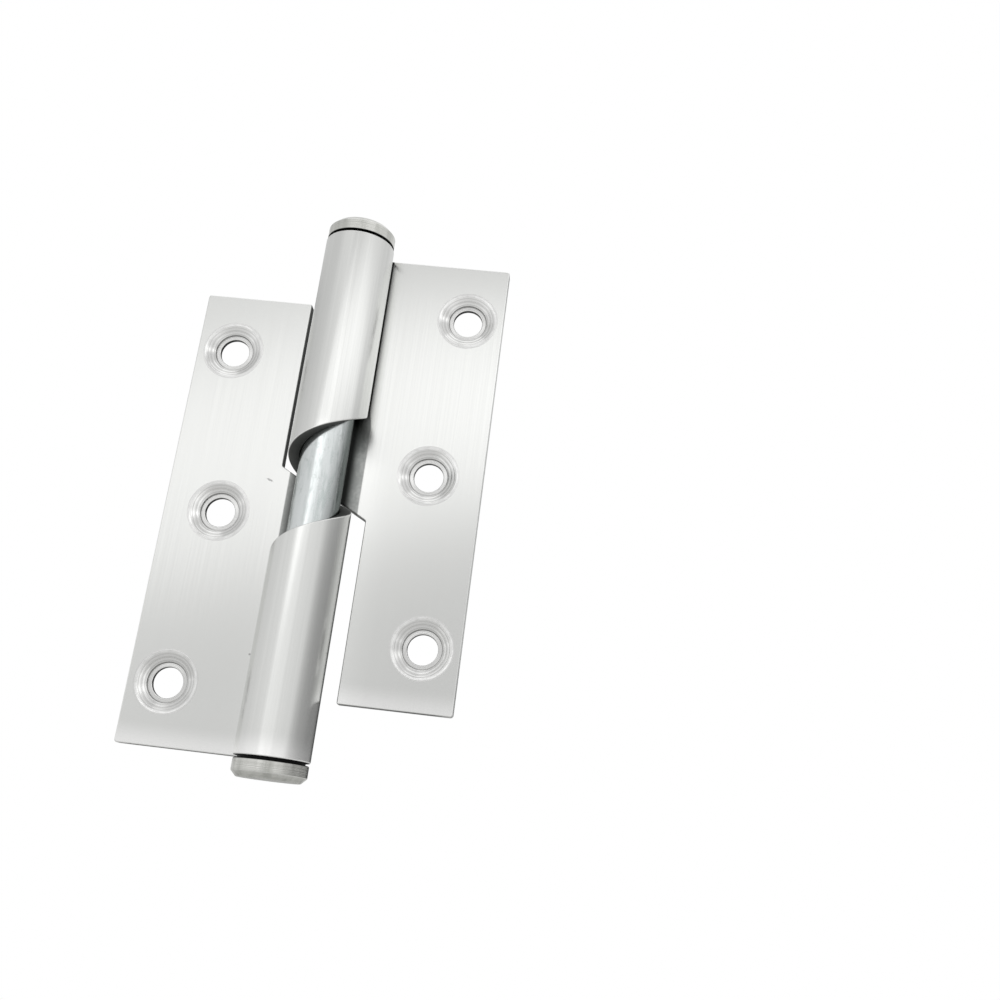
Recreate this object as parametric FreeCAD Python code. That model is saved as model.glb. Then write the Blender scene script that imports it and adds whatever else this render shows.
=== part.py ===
import FreeCAD, Part
import math
import os

# Rising butt hinge, laid open flat. The pin stands along Z, the frame leaf reaches to -X and the
# door leaf to +X. The countersunk faces look to -Y and the leaves' backs, which lie on the frame
# and on the door, look to +Y. All sizes are in millimetres.

# Leaves, each folded from one sheet
leaf_height = 100.0
leaf_reach = 33.5
sheet_thickness = 2.5
corner_radius = 0.6
edge_break = 0.25

# Pin, and the knuckles that are rolled round it
pin_diameter = 10.0
running_clearance = 0.05
seam_gap = 0.3
edge_clearance = 2.3
pin_chamfer = 0.8
pin_end_play = 0.3

# Cam edges, one long helical ramp on each knuckle
cam_pitch = 21.0
cam_clearance = 0.3
closed_step = 2.0
cam_run_out = 2.0

# Countersunk screw holes: one near each end of a leaf, and a third set further in at its middle
screw_hole_diameter = 6.4
rim_diameter = 8.0
countersink_diameter = 12.4
screw_land = 0.8
rim_height = 0.4
end_hole_inset = 13.0
end_hole_margin = 8.0
middle_hole_margin = 11.8

# Turned end caps
cap_height = 3.5
cap_chamfer = 1.1
cap_inset = 0.15
groove_width = 0.5
groove_depth = 0.9
spigot_length = 6.0
spigot_chamfer = 0.5
spigot_clearance = 0.02

# Sizes that follow from those above
pin_radius = pin_diameter / 2
bore_radius = pin_radius + running_clearance
barrel_radius = bore_radius + sheet_thickness
inner_edge = barrel_radius + edge_clearance
half_turn_rise = cam_pitch / 2
open_offset = half_turn_rise + closed_step
cam_root_height = (leaf_height + open_offset - cam_clearance) / 2
rise_per_degree = cam_pitch / 360
sheet_middle_radius = bore_radius + sheet_thickness / 2
knuckle_cam_slope = cam_pitch / (2 * math.pi * barrel_radius)
flat_cam_slope = cam_pitch / (2 * math.pi * sheet_middle_radius)
end_hole_reach = leaf_reach - end_hole_margin
middle_hole_reach = leaf_reach - middle_hole_margin

# Angles round the pin, counted from +X towards +Y
root_angle = 90.0
tip_angle = -180.0 - math.degrees(math.asin((bore_radius - seam_gap) / barrel_radius))
overrun_angle = 4.0
overrun = 1.0

Z_AXIS = FreeCAD.Vector(0, 0, 1)
Y_AXIS = FreeCAD.Vector(0, 1, 0)
PIN_CENTRE = FreeCAD.Vector(0, 0, 0)

# Tells a ruled surface that both of its edges already run the same way
SAME_WAY = 1


def round_pin(radius, degrees, height=0.0):
    """Returns the point at an angle and a radius round the pin axis."""
    angle = math.radians(degrees)
    return FreeCAD.Vector(radius * math.cos(angle), radius * math.sin(angle), height)


def knuckle_arc(radius):
    """Returns the rolled arc of one sheet surface, from the root to the tip."""
    angles = (root_angle, (root_angle + tip_angle) / 2, tip_angle)
    start, middle, end = [round_pin(radius, degrees) for degrees in angles]
    return Part.Arc(start, middle, end).toShape()


def space_above_cam():
    """Returns the space over the helical cam edge, wide enough to trim the whole knuckle."""
    start = tip_angle - overrun_angle
    turn = root_angle + overrun_angle - start
    start_height = cam_root_height - (root_angle - start) * rise_per_degree
    edges = []
    for radius in (bore_radius / 2, barrel_radius + overrun):
        helix = Part.makeHelix(cam_pitch, turn * rise_per_degree, radius)
        helix.rotate(PIN_CENTRE, Z_AXIS, start)
        helix.translate(FreeCAD.Vector(0, 0, start_height))
        edges.append(helix.Edges[0])
    ramp = Part.makeRuledSurface(edges[0], edges[1], SAME_WAY)
    return ramp.extrude(FreeCAD.Vector(0, 0, leaf_height))


def knuckle():
    """Returns the rolled knuckle of the frame leaf, trimmed to its helical cam edge."""
    outer = knuckle_arc(barrel_radius)
    inner = knuckle_arc(bore_radius)
    root = Part.makeLine(round_pin(bore_radius, root_angle), round_pin(barrel_radius, root_angle))
    tip = Part.makeLine(round_pin(bore_radius, tip_angle), round_pin(barrel_radius, tip_angle))
    section = Part.Face(Part.Wire([root, outer, tip, inner]))
    roll = section.extrude(FreeCAD.Vector(0, 0, cam_root_height))
    return roll.cut(space_above_cam())


def plate():
    """Returns the flat of the frame leaf, with the cam edge run on into it as a sloping cut."""
    run_out_height = cam_root_height + knuckle_cam_slope * cam_run_out
    slope_top = cam_root_height + flat_cam_slope * inner_edge
    corners = [
        (0, 0),
        (0, cam_root_height),
        (-cam_run_out, run_out_height),
        (-inner_edge, slope_top),
        (-inner_edge, leaf_height),
        (-leaf_reach, leaf_height),
        (-leaf_reach, 0),
    ]
    points = [FreeCAD.Vector(x, bore_radius, z) for x, z in corners]
    outline = Part.makePolygon(points + points[:1])
    flat = Part.Face(outline).extrude(Y_AXIS * sheet_thickness)
    outer_corners = [edge for edge in flat.Edges if is_outer_corner(edge)]
    return flat.makeFillet(corner_radius, outer_corners)


def is_outer_corner(edge):
    """Returns whether an edge of the flat runs through the sheet at its outer edge."""
    box = edge.BoundBox
    return box.XMax < -leaf_reach + corner_radius and box.ZLength < corner_radius


def screw_hole(reach, height):
    """Returns the countersunk hole's space, at a distance from the pin axis and a height."""
    cone_depth = sheet_thickness - rim_height - screw_land
    profile = [
        (0, -overrun),
        (countersink_diameter / 2, -overrun),
        (countersink_diameter / 2, 0),
        (rim_diameter / 2, cone_depth),
        (screw_hole_diameter / 2, cone_depth + rim_height),
        (screw_hole_diameter / 2, sheet_thickness + overrun),
        (0, sheet_thickness + overrun),
    ]
    centre = FreeCAD.Vector(-reach, bore_radius, height)
    points = [centre + FreeCAD.Vector(radius, depth, 0) for radius, depth in profile]
    section = Part.Face(Part.makePolygon(points + points[:1]))
    return section.revolve(centre, Y_AXIS, 360)


def is_flat_side(edge):
    """Returns whether an edge of the leaf bounds the front or the back of its flat."""
    box = edge.BoundBox
    in_front = max(abs(box.YMin - bore_radius), abs(box.YMax - bore_radius)) < edge_break
    in_back = max(abs(box.YMin - barrel_radius), abs(box.YMax - barrel_radius)) < edge_break
    beside_pin = box.XMin > -edge_break
    return (in_front or in_back) and not beside_pin


def folded_sheet():
    """Returns the flat and its knuckle as one sheet; its broken edges run on round the barrel."""
    sheet = plate().fuse(knuckle()).removeSplitter()
    return sheet.makeChamfer(edge_break, [edge for edge in sheet.Edges if is_flat_side(edge)])


def frame_leaf():
    """Returns the frame leaf: the folded sheet with its lower knuckle and its screw holes."""
    holes = [
        screw_hole(end_hole_reach, end_hole_inset),
        screw_hole(middle_hole_reach, leaf_height / 2),
        screw_hole(end_hole_reach, leaf_height - end_hole_inset),
    ]
    return folded_sheet().cut(Part.makeCompound(holes)).Solids[0]


def door_leaf():
    """Returns the door leaf: the same leaf turned end for end, and raised as it is when laid open."""
    leaf = frame_leaf()
    leaf.rotate(PIN_CENTRE, Y_AXIS, 180)
    leaf.translate(FreeCAD.Vector(0, 0, leaf_height + open_offset))
    return leaf


def pin():
    """Returns the pin, which stands on the lower cap and clears the upper one when the hinge is shut."""
    bottom = spigot_length + pin_end_play
    top = leaf_height + closed_step - spigot_length - pin_end_play
    profile = [
        (0, bottom),
        (pin_radius - pin_chamfer, bottom),
        (pin_radius, bottom + pin_chamfer),
        (pin_radius, top - pin_chamfer),
        (pin_radius - pin_chamfer, top),
        (0, top),
    ]
    return turned(profile)


def turned(profile):
    """Returns a solid turned about the pin axis from radius and height pairs."""
    points = [FreeCAD.Vector(radius, 0, height) for radius, height in profile]
    section = Part.Face(Part.makePolygon(points + points[:1]))
    return section.revolve(PIN_CENTRE, Z_AXIS, 360)


def upper_cap():
    """Returns the upper cap: a chamfered head over a narrow groove, with a spigot into the knuckle."""
    barrel_top = leaf_height + open_offset
    cap_radius = barrel_radius - cap_inset
    spigot_radius = bore_radius - spigot_clearance
    groove_radius = barrel_radius - groove_depth
    cap_top = groove_width + cap_height
    profile = [
        (0, -spigot_length),
        (spigot_radius - spigot_chamfer, -spigot_length),
        (spigot_radius, -spigot_length + spigot_chamfer),
        (spigot_radius, 0),
        (groove_radius, 0),
        (groove_radius, groove_width),
        (cap_radius - edge_break, groove_width),
        (cap_radius, groove_width + edge_break),
        (cap_radius, cap_top - cap_chamfer),
        (cap_radius - cap_chamfer, cap_top),
        (0, cap_top),
    ]
    cap = turned(profile)
    cap.translate(FreeCAD.Vector(0, 0, barrel_top))
    return cap


def lower_cap():
    """Returns the lower cap: the upper cap turned end for end, at the foot of the frame leaf."""
    cap = upper_cap()
    cap.translate(FreeCAD.Vector(0, 0, -leaf_height - open_offset))
    cap.rotate(PIN_CENTRE, Y_AXIS, 180)
    return cap


def save_pieces():
    """Writes each piece, with the origin amid the frame leaf's end screws, on its back."""
    to_origin = FreeCAD.Vector(end_hole_reach, -barrel_radius, -leaf_height / 2)
    pieces = {
        "frame_leaf": frame_leaf(),
        "door_leaf": door_leaf(),
        "pin": pin(),
        "lower_cap": lower_cap(),
        "upper_cap": upper_cap(),
    }
    os.makedirs("parts", exist_ok=True)
    for node, shape in pieces.items():
        shape.translate(to_origin)
        shape.exportStep(f"parts/{node}.step")


save_pieces()
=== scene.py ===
"""Looks of a rising butt hinge in satin stainless steel, laid open flat.

Shapes are worked out in millimetres round the pin: X to the right, Y to the back and Z up from the
foot of the frame leaf. They go into the row frame, in metres, when a mesh is made.
"""

import logging
import math
from collections.abc import Sequence
from dataclasses import dataclass
from enum import Enum
from typing import Any

import bpy
import numpy as np
from mathutils import Matrix, Vector
from mathutils.geometry import delaunay_2d_cdt


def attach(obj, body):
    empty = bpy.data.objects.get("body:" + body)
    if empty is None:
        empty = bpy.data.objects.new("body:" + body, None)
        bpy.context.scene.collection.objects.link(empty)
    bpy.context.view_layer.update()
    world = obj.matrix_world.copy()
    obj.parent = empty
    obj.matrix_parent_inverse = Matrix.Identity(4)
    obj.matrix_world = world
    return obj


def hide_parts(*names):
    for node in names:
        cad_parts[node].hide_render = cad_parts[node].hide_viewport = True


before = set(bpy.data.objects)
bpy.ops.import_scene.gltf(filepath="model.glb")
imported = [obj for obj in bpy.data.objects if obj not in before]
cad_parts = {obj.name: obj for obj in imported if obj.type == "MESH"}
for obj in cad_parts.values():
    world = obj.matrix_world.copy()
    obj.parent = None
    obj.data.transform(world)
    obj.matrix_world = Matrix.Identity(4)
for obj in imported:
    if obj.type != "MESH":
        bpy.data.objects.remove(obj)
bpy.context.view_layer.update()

LOG = logging.getLogger("hinge")
MILLIMETRE = 0.001
SHEET_MAP = "sheet"
SPOKE = "spoke"
Colour = tuple[float, float, float]
WHITE: Colour = (1.0, 1.0, 1.0)

# Vertices in the same step of this size are one; the offset keeps round sizes away from a step's edge
WELD_STEP = 1e-5
WELD_OFFSET = 0.25

# Columns of a surface's vertex rows; the masks stand between the sheet place and the spokes
POINT = slice(0, 3)
NORMAL = slice(3, 6)
SHEET_PLACE = slice(6, 8)
FIRST_MASK = 8
SPOKES = slice(13, 16)

# Sides of a leaf's blank that the roll crosses, counted from its outer foot
FOOT_SIDE = 0
CAM_SIDE = 2

# Tells the triangulation to keep what lies inside the outline
INSIDE_ONLY = 1


class Side(Enum):
    """Which way up a piece stands: as it is drawn, or turned end for end about the Y axis."""

    UPRIGHT = (1.0, 1.0, 1.0)
    TURNED = (-1.0, 1.0, -1.0)


class Slot(Enum):
    """The record's material slots."""

    SATIN = "satin_stainless"
    TURNED = "turned_stainless"
    ZINC = "zinc_plate"


class Mask(Enum):
    """Values that a mesh carries on its vertices, by name, in the order of their columns."""

    EDGE = "edge"
    # Where a piece is painted dark as shade: cut walls, bores, small steps and grooves
    PAINTED_SHADE = "dull"
    RING = "ring"
    FRONT = "front"
    WALL = "wall"


@dataclass(frozen=True)
class HingeSizes:
    """Sizes that several pieces share, in millimetres."""

    leaf_height: float = 100.0
    leaf_reach: float = 33.5
    thickness: float = 2.5
    pin_radius: float = 5.0
    bore_radius: float = 5.05
    seam_gap: float = 0.3
    edge_clearance: float = 2.3
    cam_pitch: float = 21.0
    cam_clearance: float = 0.3
    cam_run_out: float = 2.0
    closed_step: float = 2.0
    end_hole_reach: float = 25.5
    middle_hole_reach: float = 21.7
    end_hole_inset: float = 13.0
    spigot_length: float = 6.0
    pin_end_play: float = 0.3

    @property
    def barrel_radius(self) -> float:
        """Outside radius of the rolled knuckles."""
        return self.bore_radius + self.thickness

    @property
    def open_offset(self) -> float:
        """Height of the door leaf over the frame leaf when the hinge lies open."""
        return self.cam_pitch / 2 + self.closed_step

    @property
    def cam_root_height(self) -> float:
        """Height of the cam edge where the knuckle meets the flat."""
        return (self.leaf_height + self.open_offset - self.cam_clearance) / 2

    @property
    def cam_slope(self) -> float:
        """Fall of the cam edge for each millimetre round the barrel."""
        return self.cam_pitch / (2 * math.pi * self.barrel_radius)

    @property
    def inner_edge(self) -> float:
        """Distance of a leaf's inner edge from the pin axis."""
        return self.barrel_radius + self.edge_clearance

    @property
    def cut_top(self) -> float:
        """Height where the sloping cut ends; it rises by the pitch for a turn of the sheet's middle."""
        middle = self.bore_radius + self.thickness / 2
        return self.cam_root_height + self.inner_edge * self.cam_pitch / (2 * math.pi * middle)

    @property
    def row_shift(self) -> np.ndarray:
        """Place of the pin's foot in the row frame."""
        return np.array([self.end_hole_reach, -self.barrel_radius, -self.leaf_height / 2])


SIZES = HingeSizes()


@dataclass
class Surface:
    """A surface as whole arrays, in millimetres round the pin.

    Fields:
        points, normals: one row for each vertex.
        sheet: place of each vertex on the flat blank.
        edge, dull, ring: masks of broken edges, of painted shade, and distance from a hole's axis.
        front: 1 on the sheet's front face and 0 on its back.
        wall: 1 on the sheet's cut edge.
        spoke: direction away from a hole's axis.
        quads: vertex numbers of each face; a triangle repeats a number.
        finish: number of the material that the faces have.
    """

    points: np.ndarray
    normals: np.ndarray
    quads: np.ndarray
    finish: int = 0
    sheet: np.ndarray | None = None
    edge: np.ndarray | None = None
    dull: np.ndarray | None = None
    ring: np.ndarray | None = None
    front: np.ndarray | None = None
    wall: np.ndarray | None = None
    spoke: np.ndarray | None = None

    def vertex_rows(self) -> np.ndarray:
        """Sets everything that a vertex carries side by side.

        Returns:
            Points, normals, sheet place, masks and spokes, zero where they are not given.
        """
        count = len(self.points)
        sheet = np.zeros((count, 2)) if self.sheet is None else self.sheet
        spoke = np.zeros((count, 3)) if self.spoke is None else self.spoke
        given = [getattr(self, mask.value) for mask in Mask]
        masks = [np.zeros(count) if values is None else values for values in given]
        return np.column_stack([self.points, self.normals, sheet, *masks, spoke])


def grid_quads(rows: int, columns: int) -> np.ndarray:
    """Faces of a grid of vertices that are numbered row by row; the last row is joined to the first.

    Args:
        rows: vertices along the first parameter, which runs round to its start.
        columns: vertices along the second parameter.

    Returns:
        Four vertex numbers for each face.
    """
    index = np.arange(rows * columns).reshape(rows, columns)
    after = np.roll(index, -1, axis=0)
    corners = (index[:, :-1], after[:, :-1], after[:, 1:], index[:, 1:])
    return np.stack(corners, axis=-1).reshape(-1, 4)


def round_corner(before: np.ndarray, corner: np.ndarray, after: np.ndarray, radius: float,
                 steps: int) -> tuple[np.ndarray, np.ndarray]:
    """Arc that rounds one corner of a flat path, with the normals on the path's right-hand side.

    The arc's centre lies on the corner's bisector at radius / sin(half the corner's angle), and its
    ends lie on the two straights at radius / tan(half the angle).

    Args:
        before: the path's point before the corner.
        corner: the corner.
        after: the path's point after it.
        radius: the arc's radius.
        steps: number of points on the arc.

    Returns:
        The arc's points and its unit normals.
    """
    back = (before - corner) / np.linalg.norm(before - corner)
    ahead = (after - corner) / np.linalg.norm(after - corner)
    half = math.acos(float(np.clip(back @ ahead, -1, 1))) / 2
    bisector = (back + ahead) / np.linalg.norm(back + ahead)
    centre = corner + bisector * radius / math.sin(half)
    start = corner + back * radius / math.tan(half) - centre
    end = corner + ahead * radius / math.tan(half) - centre
    first = math.atan2(start[1], start[0])
    turn = math.remainder(math.atan2(end[1], end[0]) - first, 2 * math.pi)
    angles = first + turn * np.linspace(0, 1, steps)
    spokes = np.stack([np.cos(angles), np.sin(angles)], axis=-1)
    return centre + radius * spokes, math.copysign(1.0, turn) * spokes


def rounded_path(corners: Sequence[tuple[float, float]], radii: Sequence[float],
                 steps: int = 5) -> tuple[np.ndarray, np.ndarray, np.ndarray]:
    """Open flat path whose inner corners are rounded.

    Args:
        corners: the path's corners, its two ends among them.
        radii: one radius for each inner corner.
        steps: points on each arc.

    Returns:
        Points, normals on the right-hand side, and a mask that is 1 in the middle of each arc.
    """
    path = np.asarray(corners, dtype=float)
    hump = np.sin(np.linspace(0, math.pi, steps))
    arcs = [round_corner(*path[i:i + 3], radius, steps) for i, radius in enumerate(radii)]
    runs = np.diff(path, axis=0)[[0, -1]]
    ends = np.stack([runs[:, 1], -runs[:, 0]], axis=-1) / np.linalg.norm(runs, axis=1)[:, None]
    points = np.concatenate([path[:1], *[arc[0] for arc in arcs], path[-1:]])
    normals = np.concatenate([ends[:1], *[arc[1] for arc in arcs], ends[1:]])
    mask = np.concatenate([[0.0], np.tile(hump, len(arcs)), [0.0]])
    return points, normals, mask


def weld(surfaces: Sequence[Surface]) -> tuple[np.ndarray, np.ndarray, np.ndarray]:
    """Joins surfaces at the vertices that they share, and turns every face outwards.

    A vertex keeps the normal and masks of the first surface that has it. A face is outwards when the
    cross product of its diagonals agrees with its vertices' normals.

    Args:
        surfaces: the surfaces, in order of whose masks count.

    Returns:
        Vertex rows as Surface.vertex_rows gives them, faces, and each face's material number. A
        triangle's third vertex is given twice.
    """
    rows = np.concatenate([s.vertex_rows() for s in surfaces])
    starts = np.cumsum([0] + [len(s.points) for s in surfaces[:-1]])
    quads = np.concatenate([s.quads + start for s, start in zip(surfaces, starts)])
    finish = np.concatenate([np.full(len(s.quads), s.finish) for s in surfaces])
    keys = np.round(rows[:, POINT] / WELD_STEP + WELD_OFFSET).astype(np.int64)
    _, first, where = np.unique(keys, axis=0, return_index=True, return_inverse=True)
    rows, quads = rows[first], where.reshape(-1)[quads]
    at = rows[quads, POINT]
    across = np.cross(at[:, 2] - at[:, 0], at[:, 3] - at[:, 1])
    inward = np.einsum("ij,ij->i", across, rows[quads, NORMAL].sum(axis=1)) < 0
    quads[inward] = quads[inward][:, ::-1]
    twice = quads == np.roll(quads, -1, axis=1)
    at_end = np.where(twice.any(axis=1), twice.argmax(axis=1), 2)
    quads = np.take_along_axis(quads, (np.arange(4) + at_end[:, None] - 2) % 4, axis=1)
    return rows, quads, finish


def make_object(name: str, surfaces: Sequence[Surface], side: Side, lift: float,
                materials: Sequence[bpy.types.Material]) -> bpy.types.Object:
    """Makes a piece from its surfaces, with smooth normals that are known from their formulas.

    Args:
        name: the piece's name.
        surfaces: its surfaces, drawn upright.
        side: which way up it stands.
        lift: how far it is moved up after that, in millimetres.
        materials: its finishes, in the order of the surfaces' numbers.

    Returns:
        The new object, at the origin of the row frame.
    """
    rows, quads, finish = weld(surfaces)
    turn = np.array(side.value)
    points = (rows[:, POINT] * turn + [0, 0, lift] + SIZES.row_shift) * MILLIMETRE
    pointed = quads[:, 2] == quads[:, 3]
    order = np.concatenate([np.flatnonzero(~pointed), np.flatnonzero(pointed)])
    faces = quads[~pointed].tolist() + quads[pointed][:, :3].tolist()
    mesh = bpy.data.meshes.new(name)
    mesh.from_pydata(points, [], faces)
    for material in materials:
        mesh.materials.append(material)
    mesh.polygons.foreach_set("material_index", finish[order].astype(np.int32))
    mesh.polygons.foreach_set("use_smooth", np.ones(len(faces), dtype=bool))
    corners = np.empty(len(mesh.loops), dtype=np.int32)
    mesh.loops.foreach_get("vertex_index", corners)
    sheet_map = mesh.uv_layers.new(name=SHEET_MAP)
    sheet_map.uv.foreach_set("vector", rows[corners, SHEET_PLACE].astype(np.float32).ravel())
    for column, mask in enumerate(Mask, start=FIRST_MASK):
        values = mesh.attributes.new(mask.value, "FLOAT", "POINT").data
        values.foreach_set("value", rows[:, column].astype(np.float32))
    spokes = mesh.attributes.new(SPOKE, "FLOAT_VECTOR", "POINT").data
    spokes.foreach_set("vector", (rows[:, SPOKES] * turn).astype(np.float32).ravel())
    mesh.update()
    mesh.normals_split_custom_set_from_vertices((rows[:, NORMAL] * turn).tolist())
    piece = bpy.data.objects.new(name, mesh)
    bpy.context.scene.collection.objects.link(piece)
    LOG.info("%s: %d vertices, %d faces", name, len(points), len(faces))
    return piece


class NodeBench:
    """Adds and links the nodes of one tree."""

    def __init__(self, tree: bpy.types.NodeTree) -> None:
        """Takes the tree to work in."""
        self.tree = tree

    def add(self, kind: str, **values: Any) -> bpy.types.Node:
        """Adds a node.

        Args:
            kind: the node's type.
            values: its properties.

        Returns:
            The new node.
        """
        node = self.tree.nodes.new(kind)
        for key, value in values.items():
            setattr(node, key, value)
        return node

    def join(self, source: Any, target: bpy.types.NodeSocket) -> None:
        """Links a socket to an input, or writes a plain value into it.

        Args:
            source: a socket, a number, or a colour without alpha.
            target: the input.
        """
        if isinstance(source, bpy.types.NodeSocket):
            self.tree.links.new(source, target)
        elif target.type == "RGBA":
            target.default_value = (*source, 1.0)
        else:
            target.default_value = source

    def math(self, operation: str, *terms: Any) -> bpy.types.NodeSocket:
        """Works out one step with a Math node.

        Args:
            operation: the node's operation.
            terms: sockets or numbers.

        Returns:
            The result.
        """
        node = self.add("ShaderNodeMath", operation=operation)
        for term, target in zip(terms, node.inputs):
            self.join(term, target)
        return node.outputs[0]

    def blend(self, factor: Any, start: Any, end: Any) -> bpy.types.NodeSocket:
        """Blends two colours.

        Args:
            factor: 0 for the first colour and 1 for the second.
            start: the first colour.
            end: the second colour.

        Returns:
            The colour between them.
        """
        node = self.add("ShaderNodeMix", data_type="RGBA")
        for term, name in ((factor, "Factor_Float"), (start, "A_Color"), (end, "B_Color")):
            self.join(term, next(s for s in node.inputs if s.identifier == name))
        return next(s for s in node.outputs if s.identifier == "Result_Color")

    def shade(self, mask: Any, strength: float, start: Any, end: Any) -> bpy.types.NodeSocket:
        """Returns a colour carried towards another by a mask times a strength."""
        return self.blend(self.math("MULTIPLY", mask, strength), start, end)

    def spread(self, value: Any, low: Any, high: Any, to_low: float = 0.0,
               to_high: float = 1.0) -> bpy.types.NodeSocket:
        """Carries a value smoothly from one range to another.

        Args:
            value: the value.
            low, high: the range that it is taken from, outside which it stays.
            to_low, to_high: the range that it is brought to.

        Returns:
            The new value.
        """
        node = self.add("ShaderNodeMapRange", interpolation_type="SMOOTHSTEP")
        for term, target in zip((value, low, high, to_low, to_high), node.inputs):
            self.join(term, target)
        return node.outputs[0]

    def split(self, place: bpy.types.NodeSocket) -> Any:
        """Returns the X, Y and Z of a place.

        Args:
            place: the place.

        Returns:
            Three sockets.
        """
        node = self.add("ShaderNodeSeparateXYZ")
        self.join(place, node.inputs[0])
        return node.outputs

    def noise(self, place: Any, scale: Any, detail: float = 2.0, roughness: float = 0.5,
              dimensions: str = "3D") -> bpy.types.NodeSocket:
        """Makes smooth noise round one half.

        Args:
            place: where it is taken, a plain value where it has one dimension.
            scale: waves to a unit of length.
            detail: number of finer layers.
            roughness: strength of each finer layer against the one before.
            dimensions: in how many dimensions it changes.

        Returns:
            The noise.
        """
        node = self.add("ShaderNodeTexNoise", noise_dimensions=dimensions)
        self.join(place, node.inputs["W" if dimensions == "1D" else "Vector"])
        for value, name in ((scale, "Scale"), (detail, "Detail"), (roughness, "Roughness")):
            self.join(value, node.inputs[name])
        return node.outputs[0]

    def group(self, tree: bpy.types.NodeTree, **inputs: Any) -> bpy.types.NodeSocket:
        """Places a node group with its own values.

        Args:
            tree: the group.
            inputs: its inputs by name.

        Returns:
            The group's output.
        """
        node = self.add("ShaderNodeGroup", node_tree=tree)
        for name, value in inputs.items():
            self.join(value, node.inputs[name])
        return node.outputs[0]

    def mask(self, mask: Mask) -> bpy.types.NodeSocket:
        """Returns one of the mesh's own masks."""
        return self.add("ShaderNodeAttribute", attribute_name=mask.value).outputs["Fac"]

    def solid(self) -> bpy.types.NodeSocket:
        """Returns the place on the piece, in metres."""
        return self.add("ShaderNodeTexCoord").outputs["Object"]

    def round_the_pin(self) -> bpy.types.NodeSocket:
        """Returns the place on the piece in metres, counted from the foot of the pin's axis."""
        centred = self.add("ShaderNodeMapping")
        self.join(self.solid(), centred.inputs["Vector"])
        centred.inputs["Location"].default_value = (-SIZES.row_shift * MILLIMETRE).tolist()
        return centred.outputs[0]

    def drawn_out(self, place: bpy.types.NodeSocket, share: float) -> bpy.types.NodeSocket:
        """Flattens a place, so that a pattern on it runs along the pin.

        Args:
            place: the place.
            share: how much of its height still counts.

        Returns:
            The flattened place.
        """
        drawn = self.add("ShaderNodeMapping")
        self.join(place, drawn.inputs["Vector"])
        drawn.inputs["Scale"].default_value = (1.0, 1.0, share)
        return drawn.outputs[0]

    def bump(self, height: Any, strength: float, distance: float) -> bpy.types.NodeSocket:
        """Tilts the normal by a height.

        Args:
            height: a height from 0 to 1.
            strength: how much of the tilt counts.
            distance: what the whole height stands for, in millimetres.

        Returns:
            The normal.
        """
        node = self.add("ShaderNodeBump")
        self.join(height, node.inputs["Height"])
        node.inputs["Strength"].default_value = strength
        node.inputs["Distance"].default_value = distance * MILLIMETRE
        return node.outputs[0]


def new_group(name: str, inputs: dict[str, str], output: str) -> tuple[NodeBench, Any, Any]:
    """Starts a shader node group.

    Args:
        name: the group's name.
        inputs: socket types of its inputs, by name.
        output: name of its output, a plain value.

    Returns:
        A bench for its tree, the sockets of its inputs, and the socket that its output takes.
    """
    tree = bpy.data.node_groups.new(name, "ShaderNodeTree")
    for direction, sockets in (("INPUT", inputs), ("OUTPUT", {output: "Float"})):
        for socket, kind in sockets.items():
            tree.interface.new_socket(socket, in_out=direction, socket_type=f"NodeSocket{kind}")
    bench = NodeBench(tree)
    return bench, bench.add("NodeGroupInput").outputs, bench.add("NodeGroupOutput").inputs[output]


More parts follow.
